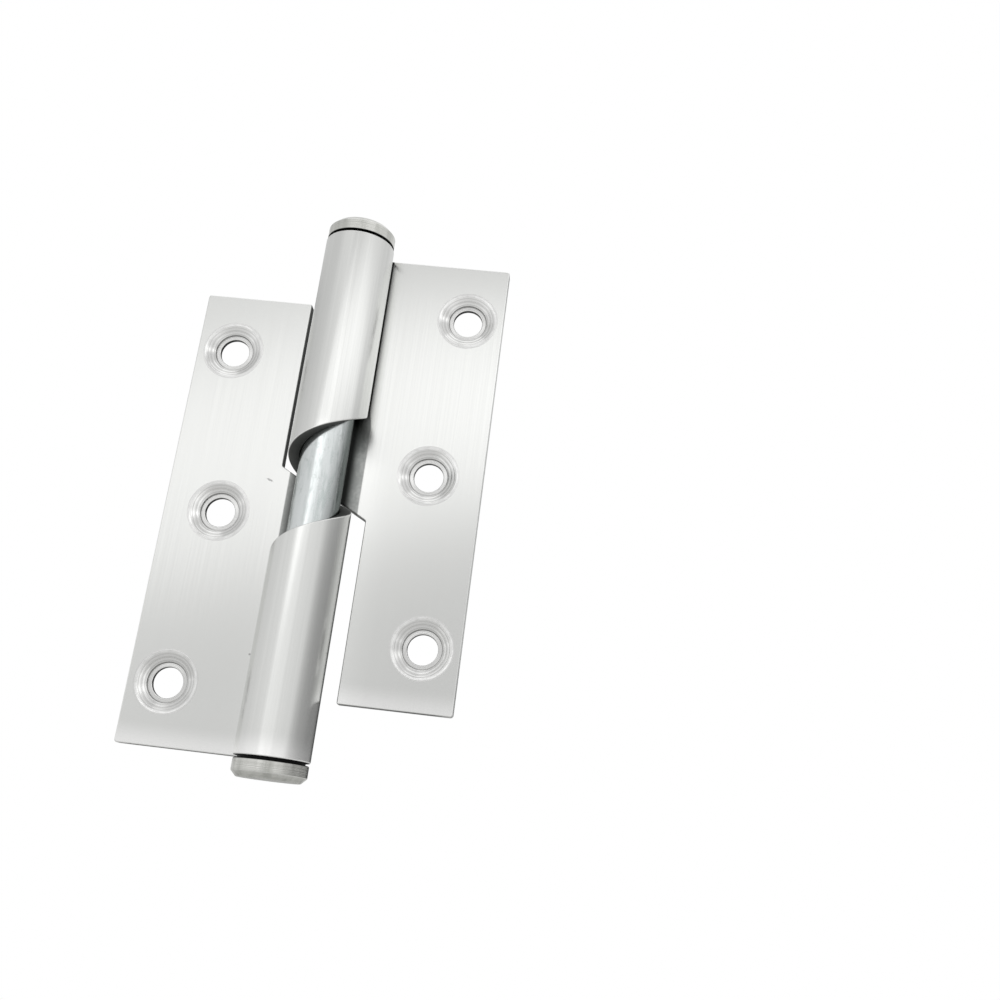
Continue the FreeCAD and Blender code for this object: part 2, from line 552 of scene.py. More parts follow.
@dataclass
class Effects:
    """Shader node groups that several finishes share, each built once.

    Fields:
        line_detail, line_roughness, line_range: layers of the brush lines' noise, and which part of
            it counts.
        patch_detail, patch_ratio: layers of the patches' noise, and how much finer the second is.
        patch_level, patch_softness: where an uncovered patch starts, and how soft its edge is.
        ring_drift, ring_wander, ring_range: waves to a metre of the rings' drift, how many pitches
            it comes to, and which part of the rings' noise counts.
        wear_waves, wear_detail, wear_range, wear_least: waves to a metre and layers of the noise
            that breaks up worn edges, which part of it counts, and what it leaves at least.
    """

    line_detail: float = 3.0
    line_roughness: float = 0.65
    line_range: tuple[float, float] = (0.25, 0.75)
    patch_detail: float = 4.0
    patch_ratio: float = 4.7
    patch_level: float = 0.4
    patch_softness: float = 0.22
    ring_drift: float = 90.0
    ring_wander: float = 0.8
    ring_range: tuple[float, float] = (0.3, 0.7)
    wear_waves: float = 700.0
    wear_detail: float = 3.0
    wear_range: tuple[float, float] = (0.3, 0.6)
    wear_least: float = 0.35

    def __post_init__(self) -> None:
        """Builds the groups."""
        self.hairlines = self._hairlines()
        self.clouds = self._clouds()
        self.rings = self._rings()
        self.wear = self._wear()

    def _hairlines(self) -> bpy.types.NodeTree:
        """Brush lines: noise on a place that is divided by the lines' width and length.

        Returns:
            The group.
        """
        inputs = {"Place": "Vector", "Width": "Float", "Length": "Float"}
        bench, given, lines = new_group("hairlines", inputs, "Lines")
        across, along, _ = bench.split(given["Place"])
        scaled = bench.add("ShaderNodeCombineXYZ")
        bench.join(bench.math("DIVIDE", across, given["Width"]), scaled.inputs[0])
        bench.join(bench.math("DIVIDE", along, given["Length"]), scaled.inputs[1])
        noise = bench.noise(scaled.outputs[0], 1.0, self.line_detail, self.line_roughness, "2D")
        bench.join(bench.spread(noise, *self.line_range), lines)
        return bench.tree

    def _clouds(self) -> bpy.types.NodeTree:
        """Soft patches: two sizes of noise multiplied together.

        Returns:
            The group.
        """
        inputs = {"Place": "Vector", "Size": "Float", "Cover": "Float"}
        bench, given, mask = new_group("clouds", inputs, "Mask")
        waves = bench.math("DIVIDE", 1.0, given["Size"])
        broad = bench.noise(given["Place"], waves, self.patch_detail)
        finer = bench.math("MULTIPLY", waves, self.patch_ratio)
        fine = bench.noise(given["Place"], finer, self.patch_detail)
        both = bench.math("MULTIPLY", broad, fine)
        low = bench.math("MULTIPLY_ADD", given["Cover"], -self.patch_level, self.patch_level)
        bench.join(bench.spread(both, low, bench.math("ADD", low, self.patch_softness)), mask)
        return bench.tree

    def _rings(self) -> bpy.types.NodeTree:
        """Tool rings: noise on the distance along a turned face, with a slow drift round it.

        Returns:
            The group.
        """
        inputs = {"Distance": "Float", "Place": "Vector", "Pitch": "Float"}
        bench, given, rings = new_group("tool_rings", inputs, "Rings")
        drift = bench.noise(given["Place"], self.ring_drift)
        steps = bench.math("DIVIDE", given["Distance"], given["Pitch"])
        wander = bench.math("MULTIPLY_ADD", drift, self.ring_wander, steps)
        noise = bench.noise(wander, 1.0, dimensions="1D")
        bench.join(bench.spread(noise, *self.ring_range), rings)
        return bench.tree

    def _wear(self) -> bpy.types.NodeTree:
        """Bright worn edges: the edge mask, broken up by noise.

        Returns:
            The group.
        """
        inputs = {"Edge": "Float", "Place": "Vector", "Amount": "Float"}
        bench, given, mask = new_group("edge_wear", inputs, "Mask")
        noise = bench.noise(given["Place"], self.wear_waves, self.wear_detail)
        broken = bench.spread(noise, *self.wear_range, self.wear_least)
        worn = bench.math("MULTIPLY", given["Edge"], broken)
        bench.join(bench.math("MULTIPLY", worn, given["Amount"]), mask)
        return bench.tree

    def worn(self, bench: NodeBench, place: bpy.types.NodeSocket, amount: float) -> bpy.types.NodeSocket:
        """Returns where a piece's broken edges are worn bright, by its own mask."""
        return bench.group(self.wear, Edge=bench.mask(Mask.EDGE), Place=place, Amount=amount)


@dataclass(frozen=True)
class Patches:
    """Soft patches: their size in millimetres, how much they cover, and how strongly they show."""

    size: float
    cover: float
    shade: float

    def mask(self, bench: NodeBench, effects: Effects,
             place: bpy.types.NodeSocket) -> bpy.types.NodeSocket:
        """Returns 1 on the patches and 0 between them, on a place in metres."""
        size = self.size * MILLIMETRE
        return bench.group(effects.clouds, Place=place, Size=size, Cover=self.cover)


@dataclass(frozen=True)
class Mark:
    """A small dark scuff on the front of a sheet, a ragged ellipse.

    Fields:
        at: its middle on the blank, in millimetres.
        half_size: half its length and half its width.
        tilt: how far it is turned, in degrees.
        depth: how strongly it shows.
        waves: waves to a millimetre along its ragged edge.
        ragged: how far the edge wanders, in half sizes.
        fade: distances from the middle between which it fades out, in half sizes.
    """

    at: tuple[float, float]
    half_size: tuple[float, float]
    tilt: float
    depth: float
    waves: float = 2.5
    ragged: float = 0.9
    fade: tuple[float, float] = (0.9, 1.45)

    def mask(self, bench: NodeBench, place: bpy.types.NodeSocket) -> bpy.types.NodeSocket:
        """Draws the scuff: its distance from the middle plus noise, carried from its depth to nothing.

        Args:
            bench: the material's nodes.
            place: place on the blank.

        Returns:
            How strongly it shows there.
        """
        turned = bench.add("ShaderNodeMapping", vector_type="TEXTURE")
        bench.join(place, turned.inputs["Vector"])
        turned.inputs["Location"].default_value = (*self.at, 0.0)
        turned.inputs["Rotation"].default_value = (0.0, 0.0, math.radians(self.tilt))
        turned.inputs["Scale"].default_value = (*self.half_size, 1.0)
        distance = bench.add("ShaderNodeVectorMath", operation="LENGTH")
        bench.join(turned.outputs[0], distance.inputs[0])
        noise = bench.noise(place, self.waves, dimensions="2D")
        ragged = bench.math("MULTIPLY_ADD", noise, self.ragged, distance.outputs["Value"])
        ellipse = bench.spread(ragged, *self.fade, self.depth, 0.0)
        return bench.math("MULTIPLY", ellipse, bench.mask(Mask.FRONT))


def metal(name: str) -> tuple[NodeBench, bpy.types.Material, Any]:
    """Starts a bare metal material, with its grain set out from the Z axis.

    Args:
        name: the material's name.

    Returns:
        A bench for its nodes, the material, and the inputs of its Principled shader.
    """
    material = bpy.data.materials.new(name)
    material.use_nodes = True
    bench = NodeBench(material.node_tree)
    shader = next(n for n in bench.tree.nodes if n.type == "BSDF_PRINCIPLED")
    shader.inputs["Metallic"].default_value = 1.0
    tangent = bench.add("ShaderNodeTangent", direction_type="RADIAL", axis="Z")
    bench.join(tangent.outputs[0], shader.inputs["Tangent"])
    return bench, material, shader.inputs


@dataclass(frozen=True)
class SatinFinish:
    """Rolled sheet, brushed along the pin, with its cut edges painted dark as shade.

    Fields, with lengths in millimetres on the blank, counted along it from the root of the roll:
        base, streak: the sheet and its brush lines.
        worn, painted_wall_shade: broken edges, and painted shade on the cut walls.
        rolled, painted_seam_shade: rolled skin that no brush reaches, darkened as painted shade, and its
            darkest painted shade.
        drawn, roll_streaks, roll_start: broad lines on the roll, their share, and where they start.
        painted_foot_reflection, foot, foot_reflection_reach: a painted reflection on the leaf's foot,
        its height, and how far it reaches.
        scuff, marks: small scuffs.
        line_width, line_length: size of the brush lines.
        broad_lines, broad_share: how much wider and longer the broad lines are, and their share.
        roughness: gloss of the sheet; line_roughness, skin_roughness and wall_roughness add to it.
        relief: strength and height of the brush lines' relief.
        seam_reach, root_reach, skin_edge: how far the skin beside the pin reaches under the knuckle
            and in the open, and how soft its edge is.
        seam_ends, tip_ends, root_shade: where the skin comes into the open, where it starts behind
        the roll's tip, and where painted shade darkens it towards the pin at the root.
    """

    name: str
    base: Colour = (0.785, 0.79, 0.775)
    streak: Colour = (0.76, 0.765, 0.75)
    worn: Colour = (0.93, 0.93, 0.92)
    painted_wall_shade: Colour = (0.06, 0.063, 0.06)
    rolled: Colour = (0.34, 0.35, 0.34)
    painted_seam_shade: Colour = (0.03, 0.031, 0.03)
    drawn: Colour = (0.50, 0.51, 0.50)
    painted_foot_reflection: Colour = (0.97, 0.97, 0.96)
    scuff: Colour = (0.22, 0.22, 0.22)
    marks: tuple[Mark, ...] = ()
    patches: Patches = Patches(20.0, 0.35, 0.35)
    mottle: Patches = Patches(4.0, 0.5, 0.22)
    wear: float = 0.85
    line_width: float = 0.16
    line_length: float = 60.0
    broad_lines: tuple[float, float] = (9.0, 4.0)
    broad_share: float = 0.2
    roll_streaks: float = 0.16
    roll_start: tuple[float, float] = (-1.0, 3.0)
    foot: float = 0.0
    foot_reflection_reach: float = 5.0
    roughness: float = 0.19
    line_roughness: float = 0.04
    skin_roughness: float = 0.12
    wall_roughness: float = 0.4
    anisotropy: float = 0.6
    relief: tuple[float, float] = (0.035, 0.01)
    seam_reach: float = 7.12
    root_reach: float = 7.9
    skin_edge: float = 0.15
    seam_ends: tuple[float, float] = (36.0, 41.0)
    tip_ends: tuple[float, float] = (36.8, 39.8)
    root_shade: tuple[float, float] = (-8.6, -5.6)

    def material(self, effects: Effects) -> bpy.types.Material:
        """Builds the finish on the sheet's own map.

        Args:
            effects: the shared groups.

        Returns:
            The material.
        """
        bench, material, shader = metal(self.name)
        place = bench.add("ShaderNodeUVMap", uv_map=SHEET_MAP).outputs[0]
        solid = bench.solid()
        along, height, _ = bench.split(place)
        wider, longer = self.broad_lines
        fine = bench.group(effects.hairlines, Place=place, Width=self.line_width,
                           Length=self.line_length)
        broad = bench.group(effects.hairlines, Place=place, Width=self.line_width * wider,
                            Length=self.line_length * longer)
        most = bench.math("MULTIPLY", fine, 1 - self.broad_share)
        lines = bench.math("MULTIPLY_ADD", broad, self.broad_share, most)
        colour = bench.blend(lines, self.base, self.streak)
        patches = self.patches.mask(bench, effects, solid)
        colour = bench.shade(patches, self.patches.shade, colour, self.streak)
        on_roll = bench.spread(along, *self.roll_start, 0.0, self.roll_streaks)
        colour = bench.blend(bench.math("MULTIPLY", broad, on_roll), colour, self.drawn)
        # A painted reflection brightens the leaf towards its foot.
        from_foot = bench.math("ABSOLUTE", bench.math("SUBTRACT", height, self.foot))
        foot_reflection = bench.spread(from_foot, 0.0, self.foot_reflection_reach, 1.0, 0.0)
        colour = bench.blend(foot_reflection, colour, self.painted_foot_reflection)
        for mark in self.marks:
            colour = bench.blend(mark.mask(bench, place), colour, self.scuff)
        colour = bench.blend(effects.worn(bench, solid, self.wear), colour, self.worn)
        # The skin beside the pin and behind the roll's tip is unbrushed and also painted darker as
        # shade.
        unbrushed_and_shaded, opened = self._unbrushed_and_shaded(bench, along, height)
        mottle = self.mottle.mask(bench, effects, solid)
        skin = bench.shade(mottle, self.mottle.shade, self.rolled, self.base)
        # Where the knuckle still covers it the skin is painted black as shade, and it darkens towards
        # the pin the same way.
        skin = bench.blend(opened, self.painted_seam_shade, skin)
        skin = bench.blend(bench.spread(along, *self.root_shade), skin, self.painted_seam_shade)
        colour = bench.blend(unbrushed_and_shaded, colour, skin)
        # The cut walls that the mesh marks are painted dark as shade.
        bench.join(bench.blend(bench.mask(Mask.PAINTED_SHADE), colour, self.painted_wall_shade), shader["Base Color"])
        rough = bench.math("MULTIPLY_ADD", lines, self.line_roughness, self.roughness)
        rough = bench.math("MULTIPLY_ADD", unbrushed_and_shaded, self.skin_roughness, rough)
        rough = bench.math("MULTIPLY_ADD", bench.mask(Mask.WALL), self.wall_roughness, rough)
        bench.join(rough, shader["Roughness"])
        shader["Anisotropic"].default_value = self.anisotropy
        bench.join(bench.bump(fine, *self.relief), shader["Normal"])
        return material

    def _unbrushed_and_shaded(self, bench: NodeBench, along: bpy.types.NodeSocket,
                   height: bpy.types.NodeSocket) -> tuple[bpy.types.NodeSocket, bpy.types.NodeSocket]:
        """Masks unbrushed rolled skin, painted darker as shade: the front beside the pin, and behind the
        tip.

        Args:
            bench: the material's nodes.
            along: distance along the blank, past the root.
            height: height on the blank.

        Returns:
            The mask, and another that is 1 where the knuckle is cut away and the skin lies open.
        """
        front = bench.mask(Mask.FRONT)
        opened = bench.spread(height, *self.seam_ends)
        reach = bench.math("MULTIPLY_ADD", opened, self.root_reach - self.seam_reach, self.seam_reach)
        root = bench.spread(bench.math("ADD", along, reach), -self.skin_edge, self.skin_edge)
        tip = bench.spread(along, *self.tip_ends)
        beside_pin = bench.math("MULTIPLY", root, front)
        behind_tip = bench.math("MULTIPLY", tip, bench.math("SUBTRACT", 1.0, front))
        return bench.math("MAXIMUM", beside_pin, behind_tip), opened


@dataclass(frozen=True)
class CountersinkFinish:
    """Cut faces of the screw holes, with fine rings from the tool and a bore painted dark as shade.

    Fields:
        base, ring, ring_shade: the cut metal, its rings, and how strongly they show.
        worn, wear: broken edges, and how strongly they show.
        bore: painted shade in the bore and on the small step over it.
        pitch: distance of the rings, in millimetres.
        roughness: gloss of the metal; ring_roughness and bore_roughness add to it.
        relief: strength and height of the rings' relief.
    """

    name: str = "countersink_cut"
    base: Colour = (0.80, 0.80, 0.79)
    ring: Colour = (0.50, 0.50, 0.49)
    worn: Colour = (0.93, 0.93, 0.92)
    bore: Colour = (0.03, 0.03, 0.03)
    ring_shade: float = 0.5
    wear: float = 0.9
    pitch: float = 0.34
    roughness: float = 0.17
    ring_roughness: float = 0.12
    bore_roughness: float = 0.25
    anisotropy: float = 0.6
    relief: tuple[float, float] = (0.55, 0.03)

    def material(self, effects: Effects) -> bpy.types.Material:
        """Builds the finish on the distance from the hole's axis, with its grain round that axis.

        Args:
            effects: the shared groups.

        Returns:
            The material.
        """
        bench, material, shader = metal(self.name)
        solid = bench.solid()
        spoke = bench.add("ShaderNodeVectorTransform", vector_type="VECTOR", convert_from="OBJECT",
                          convert_to="WORLD")
        spokes = bench.add("ShaderNodeAttribute", attribute_name=SPOKE)
        bench.join(spokes.outputs["Vector"], spoke.inputs[0])
        bench.join(spoke.outputs[0], shader["Tangent"])
        shader["Anisotropic"].default_value = self.anisotropy
        rings = bench.group(effects.rings, Distance=bench.mask(Mask.RING), Place=solid, Pitch=self.pitch)
        colour = bench.shade(rings, self.ring_shade, self.base, self.ring)
        colour = bench.blend(effects.worn(bench, solid, self.wear), colour, self.worn)
        # The bore and the small step over it are painted dark as shade.
        dull = bench.mask(Mask.PAINTED_SHADE)
        bench.join(bench.blend(dull, colour, self.bore), shader["Base Color"])
        rough = bench.math("MULTIPLY_ADD", rings, self.ring_roughness, self.roughness)
        rough = bench.math("MULTIPLY_ADD", dull, self.bore_roughness, rough)
        bench.join(rough, shader["Roughness"])
        bench.join(bench.bump(rings, *self.relief), shader["Normal"])
        return material


@dataclass(frozen=True)
class TurnedFinish:
    """Turned bar, with fine rings round the pin axis, uneven bands along it and a groove painted dark as
    shade.

    Fields:
        base, ring, ring_shade: the turned metal, its rings, and how strongly they show.
        worn, wear: broken edges, and how strongly they show.
        groove: painted shade in the groove.
        bands, band_share: uneven bands, and how much of the height counts in them.
        pitch: distance of the rings, in millimetres.
        roughness: gloss of the metal; ring_roughness and groove_roughness add to it.
        relief: strength and height of the rings' relief.
    """

    name: str = "turned_cap"
    base: Colour = (0.80, 0.80, 0.77)
    ring: Colour = (0.45, 0.455, 0.425)
    worn: Colour = (0.93, 0.93, 0.91)
    groove: Colour = (0.012, 0.012, 0.012)
    ring_shade: float = 0.6
    bands: Patches = Patches(8.0, 0.52, 0.8)
    band_share: float = 0.15
    wear: float = 0.8
    pitch: float = 0.16
    roughness: float = 0.12
    ring_roughness: float = 0.1
    groove_roughness: float = 0.3
    anisotropy: float = 0.5
    relief: tuple[float, float] = (0.2, 0.02)

    def material(self, effects: Effects) -> bpy.types.Material:
        """Builds the finish; height plus distance from the axis numbers the rings on every face.

        Args:
            effects: the shared groups.

        Returns:
            The material.
        """
        bench, material, shader = metal(self.name)
        solid = bench.round_the_pin()
        right, back, up = bench.split(solid)
        square = bench.math("MULTIPLY_ADD", back, back, bench.math("MULTIPLY", right, right))
        run = bench.math("ADD", up, bench.math("SQRT", square))
        rings = bench.group(effects.rings, Distance=run, Place=solid, Pitch=self.pitch * MILLIMETRE)
        bands = self.bands.mask(bench, effects, bench.drawn_out(solid, self.band_share))
        colour = bench.shade(rings, self.ring_shade, self.base, self.ring)
        colour = bench.shade(bands, self.bands.shade, colour, self.ring)
        colour = bench.blend(effects.worn(bench, solid, self.wear), colour, self.worn)
        # The groove, and a band of the head over it, are painted dark as shade.
        dull = bench.mask(Mask.PAINTED_SHADE)
        bench.join(bench.blend(dull, colour, self.groove), shader["Base Color"])
        rough = bench.math("MULTIPLY_ADD", rings, self.ring_roughness, self.roughness)
        rough = bench.math("MULTIPLY_ADD", dull, self.groove_roughness, rough)
        bench.join(rough, shader["Roughness"])
        shader["Anisotropic"].default_value = self.anisotropy
        bench.join(bench.bump(rings, *self.relief), shader["Normal"])
        return material


@dataclass(frozen=True)
class ZincFinish:
    """Bright zinc plate with a cool tint, mottled and drawn out along the pin.

    Fields:
        base, mottle, stain, painted_flank_shade: the plate, its streaks, its spots, and painted shade on
            its flanks.
        streaks, streak_share: the streaks, and how much of the height counts in them.
        spots: small stains.
        flank: distances from the middle, in pin radii, between which the flanks turn dark as painted
            shade.
        flank_wander, flank_inset: how far the streaks move that edge, and how far it is set back.
        roughness: gloss of the plate; streak_roughness and spot_roughness add to it.
        relief: strength and height of the streaks' relief.
    """

    name: str = "zinc_pin"
    base: Colour = (0.71, 0.74, 0.74)
    mottle: Colour = (0.52, 0.57, 0.56)
    stain: Colour = (0.36, 0.41, 0.39)
    painted_flank_shade: Colour = (0.10, 0.12, 0.115)
    streaks: Patches = Patches(3.5, 0.5, 0.75)
    streak_share: float = 0.22
    spots: Patches = Patches(2.2, 0.28, 0.5)
    flank: tuple[float, float] = (0.70, 0.98)
    flank_wander: float = 0.08
    flank_inset: float = 0.03
    roughness: float = 0.17
    streak_roughness: float = 0.12
    spot_roughness: float = 0.1
    anisotropy: float = 0.3
    relief: tuple[float, float] = (0.1, 0.02)

    def material(self, effects: Effects) -> bpy.types.Material:
        """Builds the finish on the pin's own place; its left and right flanks are painted dark as shade.

        Args:
            effects: the shared groups.

        Returns:
            The material.
        """
        bench, material, shader = metal(self.name)
        solid = bench.round_the_pin()
        streaks = self.streaks.mask(bench, effects, bench.drawn_out(solid, self.streak_share))
        spots = self.spots.mask(bench, effects, solid)
        colour = bench.shade(streaks, self.streaks.shade, self.base, self.mottle)
        colour = bench.shade(spots, self.spots.shade, colour, self.stain)
        # The pin's left and right flanks are painted dark as shade, along an edge that the streaks move.
        right, _, _ = bench.split(solid)
        per_radius = 1 / (SIZES.pin_radius * MILLIMETRE)
        radii = bench.math("MULTIPLY", bench.math("ABSOLUTE", right), per_radius)
        set_back = bench.math("SUBTRACT", radii, self.flank_inset)
        aside = bench.math("MULTIPLY_ADD", streaks, self.flank_wander, set_back)
        colour = bench.blend(bench.spread(aside, *self.flank), colour, self.painted_flank_shade)
        bench.join(colour, shader["Base Color"])
        rough = bench.math("MULTIPLY_ADD", streaks, self.streak_roughness, self.roughness)
        rough = bench.math("MULTIPLY_ADD", spots, self.spot_roughness, rough)
        bench.join(rough, shader["Roughness"])
        shader["Anisotropic"].default_value = self.anisotropy
        bench.join(bench.bump(streaks, *self.relief), shader["Normal"])
        return material


@dataclass
class Leaf:
    """One leaf: a flat blank with countersunk holes and broken edges, rolled round the pin.

    Fields, with lengths in millimetres:
        edge_radius, edge_steps: quarter rounds of the sheet's edge, and points on each.
        outer_corner, tight_corner, inner_corner, run_out_corner: the outline's roundings.
        corner_steps, side_stations: points on each of them, and between two of them.
        columns: strips that the roll is divided into.
        flat_run, flat_stations: where the foot's points lie on the flat, and how many.
        sides_dull: how strongly the wall is painted dark as shade on each side of the outline.
        hole_profile, hole_rounding: radius and depth pairs of a screw hole, and their roundings.
        step_corner, bore_corner: the profile's corners at its small step and at its bore.
        step_dull, step_shade: how strongly the step is painted dark as shade, and how far over it that
            starts.
        back_edge, slack: the bore's bright edge at the back, and room for a rounding.
        hole_steps: points round a hole.
    """

    node: str
    body: str
    side: Side
    finish: SatinFinish
    cut: CountersinkFinish
    edge_radius: float = 0.25
    edge_steps: int = 6
    outer_corner: float = 0.6
    tight_corner: float = 0.3
    inner_corner: float = 0.5
    run_out_corner: float = 5.0
    corner_steps: int = 7
    side_stations: int = 6
    columns: int = 150
    flat_run: tuple[float, float] = (-30.0, -2.0)
    flat_stations: int = 8
    sides_dull: tuple[float, ...] = (0.9, 1.0, 0.9, 0.95, 1.0, 0.9, 0.1)
    hole_profile: tuple[tuple[float, float], ...] = (
        (6.75, 0.0), (6.2, 0.0), (4.24, 1.0), (4.04, 1.42), (3.32, 1.38), (3.2, 1.5), (3.2, 2.5),
        (3.5, 2.5))
    hole_rounding: tuple[float, ...] = (1.6, 0.1, 0.1, 0.08, 0.08, 0.15)
    step_corner: int = 3
    bore_corner: int = 5
    step_dull: float = 0.5
    step_shade: float = 0.4
    back_edge: float = 0.1
    slack: float = 0.02
    hole_steps: int = 96

    @property
    def tip(self) -> float:
        """Length of the roll from root to tip, on the outside of the barrel."""
        turn = 1.5 * math.pi + math.asin((SIZES.bore_radius - SIZES.seam_gap) / SIZES.barrel_radius)
        return turn * SIZES.barrel_radius

    def cam_height(self, along: Any) -> Any:
        """Returns the cam edge's height on the blank, a straight line that falls along the roll."""
        return SIZES.cam_root_height - SIZES.cam_slope * along

    def fold(self, along: np.ndarray, height: np.ndarray, depth: np.ndarray,
             normal: np.ndarray) -> tuple[np.ndarray, np.ndarray]:
        """Rolls points of the blank round the pin.

        Behind the root the sheet stays flat. Past it, the distance along the blank over the barrel's
        radius is the angle turned, and the bore's radius plus the depth is the distance from the axis.

        Args:
            along: distance past the root, less than zero on the flat.
            height: height on the blank.
            depth: depth from the front face.
            normal: normals on the blank, as along, height and depth.

        Returns:
            Points and normals round the pin.
        """
        radius = SIZES.bore_radius + depth
        angle = np.maximum(along, 0) / SIZES.barrel_radius
        sine, cosine = np.sin(angle), np.cos(angle)
        stretch = np.where(along > 0, SIZES.barrel_radius / radius, 1.0)
        tangent = normal[..., 0] * stretch
        points = np.stack([np.minimum(along, 0) + radius * sine, radius * cosine, height], axis=-1)
        normals = np.stack([tangent * cosine + normal[..., 2] * sine,
                            normal[..., 2] * cosine - tangent * sine, normal[..., 1]], axis=-1)
        return points, normals / np.linalg.norm(normals, axis=-1, keepdims=True)

    def surface(self, blank: np.ndarray, depth: np.ndarray, normal: np.ndarray, quads: np.ndarray,
                **rest: Any) -> Surface:
        """Rolls a surface of the blank round the pin.

        Args:
            blank: places on the blank.
            depth: their depths from the front face.
            normal: their normals, as along, height and depth.
            quads: its faces.
            rest: its masks and finish.

        Returns:
            The surface.
        """
        flat = blank.reshape(-1, 2)
        points, normals = self.fold(flat[:, 0], flat[:, 1], depth.reshape(-1), normal.reshape(-1, 3))
        front = 1 - depth.reshape(-1) / SIZES.thickness
        return Surface(points, normals, quads, sheet=flat, front=front, **rest)

    def outline(self) -> tuple[np.ndarray, np.ndarray, np.ndarray, np.ndarray]:
        """Draws the blank's outline, anticlockwise from its outer foot.

        Returns:
            Points, outward normals, the wall's painted shade there, and pairs of points facing across
            the roll.
        """
        corners = np.array([
            (-SIZES.leaf_reach, 0.0), (self.tip, 0.0), (self.tip, self.cam_height(self.tip)),
            (-SIZES.cam_run_out, self.cam_height(-SIZES.cam_run_out)),
            (-SIZES.inner_edge, SIZES.cut_top), (-SIZES.inner_edge, SIZES.leaf_height),
            (-SIZES.leaf_reach, SIZES.leaf_height)])
        radii = (self.outer_corner, self.tight_corner, self.tight_corner, self.run_out_corner,
                 self.inner_corner, self.tight_corner, self.outer_corner)
        around = [np.roll(corners, shift, axis=0) for shift in (1, 0, -1)]
        arcs = [round_corner(*three, radius, self.corner_steps)
                for *three, radius in zip(*around, radii)]
        foot, top = arcs[FOOT_SIDE + 1][0][0, 0], arcs[CAM_SIDE][0][-1, 0]
        stations = {
            FOOT_SIDE: np.concatenate([np.linspace(*self.flat_run, self.flat_stations),
                                       np.linspace(0, foot, self.columns + 1)[:-1]]),
            CAM_SIDE: np.append(np.linspace(top, 0, self.columns + 1)[1:], -SIZES.cam_run_out / 2),
        }
        points, normals, dull, starts = [], [], [], []
        for index, (arc, arc_normals) in enumerate(arcs):
            end, start = arcs[(index + 1) % len(arcs)][0][0], arc[-1]
            ahead = (end - start) / np.linalg.norm(end - start)
            shares = np.linspace(0, 1, self.side_stations + 2)[1:-1]
            if index in stations:
                shares = (stations[index] - start[0]) / (end[0] - start[0])
            run = start + shares[:, None] * (end - start)
            starts.append(sum(len(p) for p in points) + len(arc))
            points += [arc, run]
            normals += [arc_normals, np.tile([ahead[1], -ahead[0]], (len(run), 1))]
            # Each side's wall is painted dark as shade by its own amount; a corner takes the mean of its
            # two sides.
            mean = (self.sides_dull[index - 1] + self.sides_dull[index]) / 2
            dull += [np.full(len(arc), mean), np.full(len(run), self.sides_dull[index])]
        steps = np.arange(self.columns + 1)
        feet = starts[FOOT_SIDE] + self.flat_stations + steps
        tops = starts[CAM_SIDE] - 1 + self.columns - steps
        return (np.concatenate(points), np.concatenate(normals), np.concatenate(dull),
                np.stack([feet, tops], axis=-1))

    def rim(self, points: np.ndarray, normals: np.ndarray, dull: np.ndarray) -> Surface:
        """Carries the sheet's edge along the outline: a quarter round, the wall, a quarter round.

        Args:
            points: the outline.
            normals: its outward normals.
            dull: how strongly the wall is painted dark as shade at each point.

        Returns:
            The rim.
        """
        turn = np.linspace(0, math.pi / 2, self.edge_steps)
        inset = self.edge_radius * (1 - np.sin(turn))
        depth = self.edge_radius * (1 - np.cos(turn))
        insets = np.concatenate([inset, inset[::-1]])
        depths = np.concatenate([depth, SIZES.thickness - depth[::-1]])
        out = np.concatenate([np.sin(turn), np.sin(turn)[::-1]])
        lift = np.concatenate([-np.cos(turn), np.cos(turn)[::-1]])
        hump = np.sin(2 * turn)
        edge = np.concatenate([hump, hump[::-1]])
        upright = np.clip(2 * np.sin(turn) - 1, 0, 1)
        wall = np.concatenate([upright, upright[::-1]])
        blank = points[:, None, :] - insets[None, :, None] * normals[:, None, :]
        normal = np.concatenate([normals[:, None, :] * out[None, :, None],
                                 np.broadcast_to(lift[None, :, None], blank.shape[:2] + (1,))], axis=-1)
        return self.surface(
            blank, np.broadcast_to(depths, blank.shape[:2]), normal,
            grid_quads(len(points), len(insets)), edge=np.tile(edge, len(points)),
            dull=(dull[:, None] * wall[None, :]).reshape(-1), wall=np.tile(wall, len(points)))

    def hole_centres(self) -> np.ndarray:
        """Returns the holes' places on the blank: two near the ends, and one set in at the middle."""
        return np.array([
            (-SIZES.end_hole_reach, SIZES.end_hole_inset),
            (-SIZES.middle_hole_reach, SIZES.leaf_height / 2),
            (-SIZES.end_hole_reach, SIZES.leaf_height - SIZES.end_hole_inset)])

    def spokes(self) -> np.ndarray:
        """Returns unit directions round a hole."""
        angle = np.linspace(0, 2 * math.pi, self.hole_steps, endpoint=False)
        return np.stack([np.cos(angle), np.sin(angle)], axis=-1)

    def hole(self, centre: np.ndarray) -> Surface:
        """Turns the countersink's profile round one hole's axis.

        Args:
            centre: the hole's place on the blank.

        Returns:
            The countersink and bore.
        """
        profile, right, edge = rounded_path(self.hole_profile, self.hole_rounding)
        spokes = self.spokes()
        blank = centre + spokes[:, None, :] * profile[None, :, :1]
        normal = np.concatenate([spokes[:, None, :] * -right[None, :, :1],
                                 np.broadcast_to(-right[None, :, 1:], blank.shape[:2] + (1,))], axis=-1)
        radius, depth = profile.T
        bore_radius, _ = self.hole_profile[self.bore_corner]
        step_radius, step_depth = self.hole_profile[self.step_corner]
        # The bore, except its back edge, and the small step over it are painted dark as shade.
        in_bore = (radius < bore_radius + self.slack) & (depth < SIZES.thickness - self.back_edge)
        in_step = (radius > step_radius - self.slack) & (depth > step_depth - self.step_shade)
        dull = in_bore + self.step_dull * in_step
        count = len(spokes)
        return self.surface(
            blank, np.broadcast_to(depth, blank.shape[:2]), normal,
            grid_quads(count, len(profile)), finish=1, edge=np.tile(edge, count),
            dull=np.tile(dull, count), ring=np.tile(radius, count),
            spoke=np.repeat(np.insert(spokes, 1, 0.0, axis=1), len(profile), axis=0))

